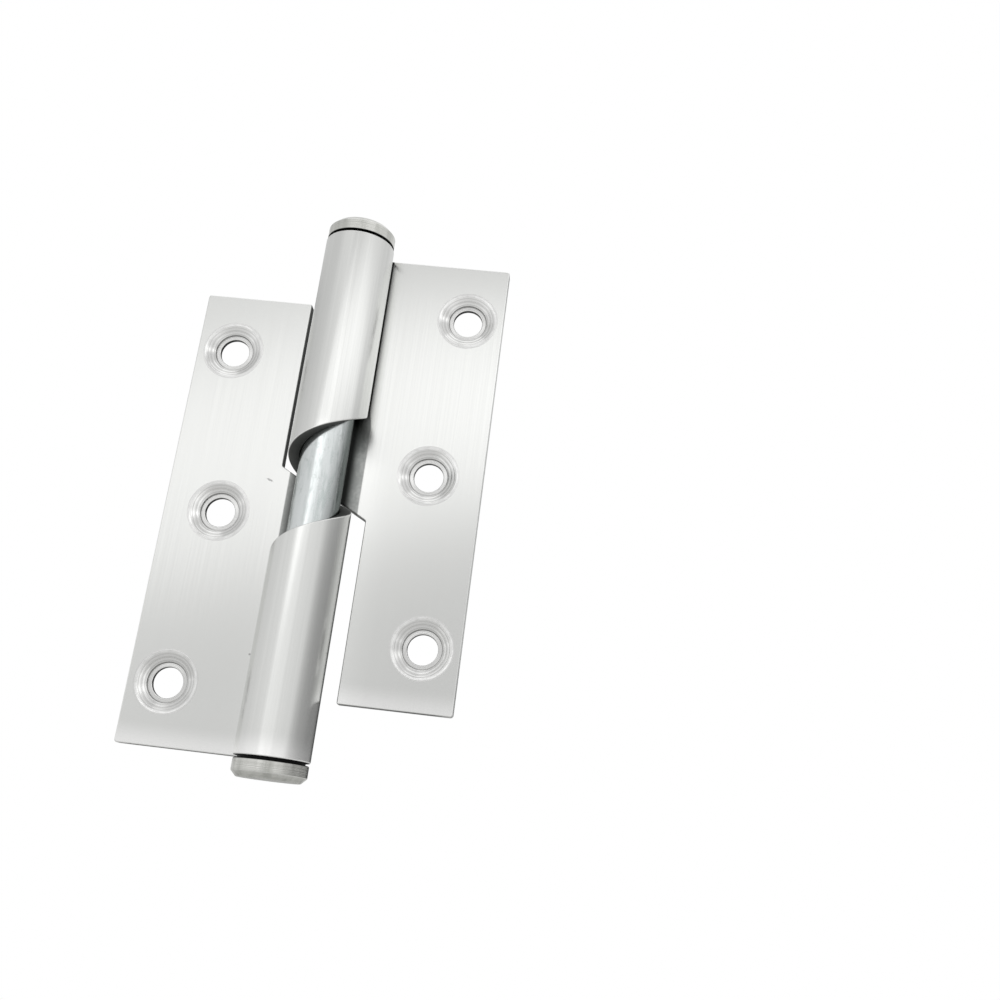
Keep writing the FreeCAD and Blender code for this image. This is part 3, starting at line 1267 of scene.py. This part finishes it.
    def face(self, loop: np.ndarray, across: np.ndarray, hole_radius: float, depth: float) -> Surface:
        """Fills the front or the back of the sheet between its outline and its holes.

        Args:
            loop: the outline, drawn in by the edge's radius.
            across: pairs of the outline's points that face each other across the roll.
            hole_radius: radius of the holes in this face.
            depth: the face's depth, at the front or at the back.

        Returns:
            The face, in triangles that follow the roll.
        """
        centres = self.hole_centres()
        holes = (centres[:, None, :] + hole_radius * self.spokes()).reshape(-1, 2)
        ring = np.arange(len(loop))
        round_hole = np.arange(len(holes)).reshape(len(centres), -1)
        edges = np.concatenate([
            np.stack([ring, np.roll(ring, -1)], axis=-1), across,
            len(loop) + np.stack([round_hole, np.roll(round_hole, -1, axis=1)], axis=-1).reshape(-1, 2)])
        blank = np.concatenate([loop, holes])
        filled = delaunay_2d_cdt(blank.tolist(), edges.tolist(), [], INSIDE_ONLY, WELD_STEP)
        triangles = np.array(filled[2])
        middle = blank[triangles].mean(axis=1)
        inside = np.linalg.norm(middle[:, None, :] - centres, axis=-1).min(axis=1) < hole_radius
        triangles = triangles[~inside]
        normal = np.tile([0.0, 0.0, 1.0 if depth else -1.0], (len(blank), 1))
        return self.surface(blank, np.full(len(blank), depth), normal, triangles[:, [0, 1, 2, 2]])

    def build(self, effects: Effects) -> bpy.types.Object:
        """Builds the leaf in place of its CAD node.

        Args:
            effects: the shared groups.

        Returns:
            The leaf.
        """
        points, normals, dull, across = self.outline()
        drawn_in = points - self.edge_radius * normals
        surfaces = [self.hole(centre) for centre in self.hole_centres()]
        surfaces.append(self.rim(points, normals, dull))
        surfaces.append(self.face(drawn_in, across, self.hole_profile[0][0], 0.0))
        surfaces.append(self.face(drawn_in, across, self.hole_profile[-1][0], SIZES.thickness))
        lift = 0.0 if self.side is Side.UPRIGHT else SIZES.leaf_height + SIZES.open_offset
        materials = [self.finish.material(effects), self.cut.material(effects)]
        piece = make_object(f"{self.node}_sheet", surfaces, self.side, lift, materials)
        return settle(piece, self.body, self.node)


def turn_profile(profile: np.ndarray, right: np.ndarray, steps: int, **masks: np.ndarray) -> Surface:
    """Turns a profile of radius and height round the pin axis.

    Args:
        profile: radius and height pairs.
        right: normals of the profile.
        steps: number of points round the axis.
        masks: masks along the profile.

    Returns:
        The turned surface; its poles close when it is welded.
    """
    angle = np.linspace(0, 2 * math.pi, steps, endpoint=False)[:, None]
    place = np.stack([profile[:, 0] * np.cos(angle), profile[:, 0] * np.sin(angle),
                      np.broadcast_to(profile[:, 1], (steps, len(profile)))], axis=-1)
    normal = np.stack([right[:, 0] * np.cos(angle), right[:, 0] * np.sin(angle),
                       np.broadcast_to(right[:, 1], (steps, len(profile)))], axis=-1)
    whole = {name: np.tile(mask, steps) for name, mask in masks.items()}
    quads = grid_quads(steps, len(profile))
    return Surface(place.reshape(-1, 3), normal.reshape(-1, 3), quads, **whole)


def settle(piece: bpy.types.Object, body: str, node: str) -> bpy.types.Object:
    """Lets a piece ride on its body in place of a CAD node, which is hidden.

    Args:
        piece: the piece.
        body: the body that it rides on.
        node: the CAD node that it stands for.

    Returns:
        The same piece.
    """
    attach(piece, body)
    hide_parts(node)
    return piece


@dataclass
class Pin:
    """The plain pin that stands in both knuckles."""

    node: str = "pin"
    body: str = "pin"
    chamfer: float = 0.8
    rounding: float = 0.25
    steps: int = 128
    finish: ZincFinish = ZincFinish()

    def build(self, effects: Effects) -> bpy.types.Object:
        """Builds the pin in place of its CAD node.

        Args:
            effects: the shared groups.

        Returns:
            The pin.
        """
        foot = SIZES.spigot_length + SIZES.pin_end_play
        top = SIZES.leaf_height + SIZES.closed_step - foot
        radius = SIZES.pin_radius
        corners = [(0.0, foot), (radius - self.chamfer, foot), (radius, foot + self.chamfer),
                   (radius, top - self.chamfer), (radius - self.chamfer, top), (0.0, top)]
        profile, right, edge = rounded_path(corners, [self.rounding] * (len(corners) - 2))
        surface = turn_profile(profile, right, self.steps, edge=edge)
        piece = make_object("zinc_pin", [surface], Side.UPRIGHT, 0.0, [self.finish.material(effects)])
        return settle(piece, self.body, self.node)


@dataclass
class Cap:
    """A turned end cap: a chamfered head, a narrow groove and a spigot in the knuckle.

    Fields, with lengths in millimetres:
        height, chamfer, inset: the head, and how far it stands in from the barrel.
        edge_radius, chamfer_rounding, spigot_rounding, groove_rounding: roundings.
        groove_width, groove_depth: the groove.
        groove_shade, groove_start: how far its painted shade reaches up the head, and out of the spigot.
        spigot_chamfer, spigot_clearance: the spigot's end, and its room in the bore.
        steps: points round the axis.
    """

    node: str
    body: str
    side: Side
    finish: TurnedFinish
    height: float = 3.5
    chamfer: float = 1.1
    inset: float = 0.15
    edge_radius: float = 0.25
    chamfer_rounding: float = 0.2
    spigot_rounding: float = 0.15
    groove_rounding: float = 0.05
    groove_width: float = 0.5
    groove_depth: float = 0.9
    groove_shade: float = 0.16
    groove_start: float = 0.1
    spigot_chamfer: float = 0.5
    spigot_clearance: float = 0.02
    steps: int = 144

    def build(self, effects: Effects) -> bpy.types.Object:
        """Builds the cap in place of its CAD node.

        Args:
            effects: the shared groups.

        Returns:
            The cap.
        """
        head = SIZES.barrel_radius - self.inset
        waist = SIZES.barrel_radius - self.groove_depth
        spigot = SIZES.bore_radius - self.spigot_clearance
        top = self.groove_width + self.height
        corners = [
            (0.0, -SIZES.spigot_length), (spigot - self.spigot_chamfer, -SIZES.spigot_length),
            (spigot, self.spigot_chamfer - SIZES.spigot_length), (spigot, 0.0), (waist, 0.0),
            (waist, self.groove_width), (head, self.groove_width), (head, top - self.chamfer),
            (head - self.chamfer, top), (0.0, top)]
        radii = [self.spigot_rounding] * 2 + [self.groove_rounding] * 3
        radii += [self.edge_radius] + [self.chamfer_rounding] * 2
        profile, right, edge = rounded_path(corners, radii)
        radius, height = profile.T
        # The groove and a band of the head over it are painted dark as shade.
        outside = radius > spigot + self.groove_start
        in_groove = outside & (height < self.groove_width + self.groove_shade)
        surface = turn_profile(profile, right, self.steps, edge=edge, dull=in_groove.astype(float))
        lift = SIZES.leaf_height + SIZES.open_offset if self.side is Side.UPRIGHT else 0.0
        piece = make_object(f"{self.node}_turned", [surface], self.side, lift,
                            [self.finish.material(effects)])
        return settle(piece, self.body, self.node)


@dataclass(frozen=True)
class Softbox:
    """A flat lamp: its middle and aim in metres, its width and height, and how bright its face is."""

    name: str
    middle: tuple[float, float, float]
    aim: tuple[float, float, float]
    width: float
    height: float
    brightness: float
    roll: float = 0.0

    def build(self) -> None:
        """Builds the lamp; its power is four times its area times its brightness."""
        lamp = bpy.data.lights.new(self.name, "AREA")
        lamp.shape = "RECTANGLE"
        lamp.size, lamp.size_y = self.width, self.height
        lamp.energy = 4 * self.width * self.height * self.brightness
        shown = bpy.data.objects.new(self.name, lamp)
        towards = Vector(self.aim) - Vector(self.middle)
        rolled = Matrix.Rotation(math.radians(self.roll), 3, "Z")
        turn = towards.to_track_quat("-Z", "Y").to_matrix() @ rolled
        shown.matrix_world = Matrix.Translation(self.middle) @ turn.to_4x4()
        shown.visible_camera = False
        bpy.context.scene.collection.objects.link(shown)


@dataclass
class Studio:
    """Floor, surroundings, lamps and camera.

    Fields, with lengths in metres:
        focal_length, image_side: in picture elements; sensor: in millimetres.
        camera_at, camera_right, camera_up, clip: the camera's place, its axes and what it sees.
        floor_radius, floor_height, floor_corners, floor_colour: the round floor.
        floor_glow, floor_fade: its own light, and where it turns to white.
        low_sky, middle_sky, high_sky: bands of the room, as degrees from the front and the grey there.
        low_to_middle, middle_to_high: elevations in degrees between which one band turns into the next.
        lamps: the lamps.
    """

    focal_length: float = 1129.94
    sensor: float = 36.0
    image_side: float = 1000.0
    camera_at: tuple[float, float, float] = (0.078171, -0.230631, -0.061497)
    camera_right: tuple[float, float, float] = (0.992661, 0.029454, 0.117287)
    camera_up: tuple[float, float, float] = (-0.103217, -0.298994, 0.948656)
    clip: tuple[float, float] = (0.005, 20.0)
    floor_radius: float = 3.0
    floor_height: float = -0.05405
    floor_corners: int = 64
    floor_colour: Colour = (0.72, 0.72, 0.715)
    floor_glow: float = 0.5
    floor_fade: tuple[float, float] = (0.03, 0.55)
    low_sky: tuple[tuple[float, float], ...] = (
        (-180, 0.08), (-165, 0.25), (-152, 0.62), (-120, 0.74), (-90, 0.76), (-60, 0.85), (-38, 0.86),
        (-20, 0.79), (-12, 0.68), (-7, 0.63), (-1, 0.70), (5, 0.84), (12, 0.86), (25, 0.88), (44, 0.85),
        (54, 0.63), (64, 0.50), (84, 0.37), (105, 0.31), (125, 0.27), (150, 0.27), (160, 0.10),
        (168, 0.05), (180, 0.05))
    middle_sky: tuple[tuple[float, float], ...] = (
        (-180, 0.08), (-165, 0.15), (-150, 0.45), (-139, 0.56), (-118, 0.54), (-98, 0.68), (-78, 0.62),
        (-58, 0.78), (-38, 0.84), (-17, 0.80), (-4, 0.88), (5, 1.11), (23, 1.17), (44, 1.14), (64, 1.06),
        (84, 0.94), (105, 0.82), (125, 0.74), (145, 0.90), (160, 0.96), (170, 0.30), (180, 0.08))
    high_sky: tuple[tuple[float, float], ...] = (
        (-180, 0.90), (-139, 0.70), (-118, 0.68), (-98, 0.76), (-78, 0.65), (-58, 0.74), (-38, 0.85),
        (-17, 0.86), (-8, 0.62), (3, 0.64), (23, 0.76), (44, 0.82), (64, 0.80), (84, 0.80),
        (105, 0.76), (125, 0.74), (145, 0.82), (165, 0.80), (180, 0.90))
    low_to_middle: tuple[float, float] = (14.0, 24.0)
    middle_to_high: tuple[float, float] = (25.0, 28.0)
    lamps: tuple[Softbox, ...] = (
        Softbox("key_softbox", (-0.190, -0.938, 0.350), (0.0255, -0.005, 0.01), 0.60, 0.24, 0.36, 24.0),
        Softbox("strip_light", (0.0202, -0.0376, -0.012), (0.0202, 0.0, -0.012), 0.0175, 0.076, 0.22),
        Softbox("side_softbox", (0.5825, -0.6716, 0.440), (0.0255, -0.0076, 0.04), 1.36, 0.135, 0.21),
        Softbox("top_softbox", (0.0, -0.15, 1.0), (0.0255, -0.005, 0.01), 1.0, 0.8, 0.35),
    )

    def build(self) -> None:
        """Builds the whole studio."""
        self.place_camera()
        self.lay_floor()
        self.paint_world()
        for lamp in self.lamps:
            lamp.build()
        bpy.context.scene.view_settings.view_transform = "Standard"

    def place_camera(self) -> None:
        """Places the camera from its own axes; the lens gives the focal length on the image's side."""
        data = bpy.data.cameras.new("photo_camera")
        data.sensor_width = self.sensor
        data.lens = self.focal_length * self.sensor / self.image_side
        data.clip_start, data.clip_end = self.clip
        camera = bpy.data.objects.new("photo_camera", data)
        right, up = Vector(self.camera_right), Vector(self.camera_up)
        axes = Matrix((right, up, right.cross(up))).transposed()
        camera.matrix_world = Matrix.Translation(self.camera_at) @ axes.to_4x4()
        bpy.context.scene.collection.objects.link(camera)
        bpy.context.scene.camera = camera

    def lay_floor(self) -> None:
        """Lays a pale round floor that glows a little, turns white far off and is clear from below."""
        angle = np.linspace(0, 2 * math.pi, self.floor_corners, endpoint=False)
        rim = np.stack([self.floor_radius * np.cos(angle), self.floor_radius * np.sin(angle),
                        np.full(len(angle), self.floor_height)], axis=-1)
        mesh = bpy.data.meshes.new("pale_floor")
        mesh.from_pydata(rim, [], [list(range(len(angle)))])
        material = bpy.data.materials.new("pale_floor")
        material.use_nodes = True
        bench = NodeBench(material.node_tree)
        bench.tree.nodes.clear()
        matt = bench.add("ShaderNodeBsdfDiffuse")
        bench.join(self.floor_colour, matt.inputs["Color"])
        away = bench.add("ShaderNodeVectorMath", operation="LENGTH")
        bench.join(bench.solid(), away.inputs[0])
        far = bench.spread(away.outputs["Value"], *self.floor_fade)
        glow = bench.add("ShaderNodeEmission")
        bench.join(bench.blend(far, self.floor_colour, WHITE), glow.inputs["Color"])
        lit = bench.add("ShaderNodeMixShader")
        bench.join(bench.math("MULTIPLY_ADD", far, 1 - self.floor_glow, self.floor_glow), lit.inputs[0])
        bench.join(matt.outputs[0], lit.inputs[1])
        bench.join(glow.outputs[0], lit.inputs[2])
        below = bench.add("ShaderNodeMixShader")
        bench.join(bench.add("ShaderNodeNewGeometry").outputs["Backfacing"], below.inputs[0])
        bench.join(lit.outputs[0], below.inputs[1])
        bench.join(bench.add("ShaderNodeBsdfTransparent").outputs[0], below.inputs[2])
        bench.join(below.outputs[0], bench.add("ShaderNodeOutputMaterial").inputs[0])
        mesh.materials.append(material)
        floor = bpy.data.objects.new("pale_floor", mesh)
        bpy.context.scene.collection.objects.link(floor)

    def paint_world(self) -> None:
        """Paints the room: white where it is looked at, and soft greys by direction in reflections."""
        world = bpy.data.worlds.new("studio")
        bpy.context.scene.world = world
        world.use_nodes = True
        bench = NodeBench(world.node_tree)
        bench.tree.nodes.clear()
        right, back, up = bench.split(bench.add("ShaderNodeTexCoord").outputs["Generated"])
        turn = bench.math("ARCTAN2", right, bench.math("MULTIPLY", back, -1.0))
        share = bench.math("MULTIPLY_ADD", turn, 0.5 / math.pi, 0.5)
        skies = (self.low_sky, self.middle_sky, self.high_sky)
        low, middle, high = [self.band(bench, share, stops) for stops in skies]
        room = bench.blend(self.above(bench, up, self.low_to_middle), low, middle)
        room = bench.blend(self.above(bench, up, self.middle_to_high), room, high)
        path = bench.add("ShaderNodeLightPath").outputs
        seen = bench.math("MAXIMUM", path["Is Camera Ray"], path["Is Transmission Ray"])
        background = bench.add("ShaderNodeBackground")
        bench.join(bench.blend(seen, room, WHITE), background.inputs["Color"])
        bench.join(background.outputs[0], bench.add("ShaderNodeOutputWorld").inputs[0])

    @staticmethod
    def above(bench: NodeBench, height: bpy.types.NodeSocket,
              elevations: tuple[float, float]) -> bpy.types.NodeSocket:
        """Returns 0 below one elevation and 1 above another; a direction's height is its sine."""
        return bench.spread(height, *[math.sin(math.radians(degrees)) for degrees in elevations])

    @staticmethod
    def band(bench: NodeBench, share: bpy.types.NodeSocket,
             stops: Sequence[tuple[float, float]]) -> bpy.types.NodeSocket:
        """Returns grey by direction round the hinge.

        Args:
            bench: the world's nodes.
            share: direction, from 0 to 1, where one half is the front.
            stops: degrees from the front and the grey there.

        Returns:
            The colour.
        """
        ramp = bench.add("ShaderNodeValToRGB")
        bench.join(share, ramp.inputs[0])
        elements = ramp.color_ramp.elements
        while len(elements) < len(stops):
            elements.new(0.5)
        for element, (degrees, grey) in zip(elements, stops):
            element.position = degrees / 360 + 0.5
            element.color = (grey, grey, grey, 1.0)
        return ramp.outputs[0]


def main() -> None:
    """Builds the hinge and its studio, and reports each piece."""
    logging.basicConfig(level=logging.INFO, format="%(name)s: %(message)s")
    effects = Effects()
    cut = CountersinkFinish()
    turned = TurnedFinish()
    long_scuff = Mark(at=(-11.9, 57.9), half_size=(0.95, 0.30), tilt=-20.0, depth=0.65)
    small_scuff = Mark(at=(-9.4, 20.4), half_size=(0.35, 0.25), tilt=0.0, depth=0.6)
    frame_satin = SatinFinish("satin_frame_leaf", marks=(long_scuff, small_scuff))
    door_satin = SatinFinish("satin_door_leaf", foot=SIZES.leaf_height, root_shade=(-6.4, -4.6))
    parts = [
        Leaf("frame_leaf", "frame", Side.UPRIGHT, frame_satin, cut),
        Leaf("door_leaf", "door", Side.TURNED, door_satin, cut),
        Pin(),
        Cap("lower_cap", "frame", Side.TURNED, turned),
        Cap("upper_cap", "door", Side.UPRIGHT, turned),
    ]
    for part in parts:
        piece = part.build(effects)
        LOG.info("%s rides on %s", piece.name, part.body)
    Studio().build()


if __name__ == "__main__":
    main()
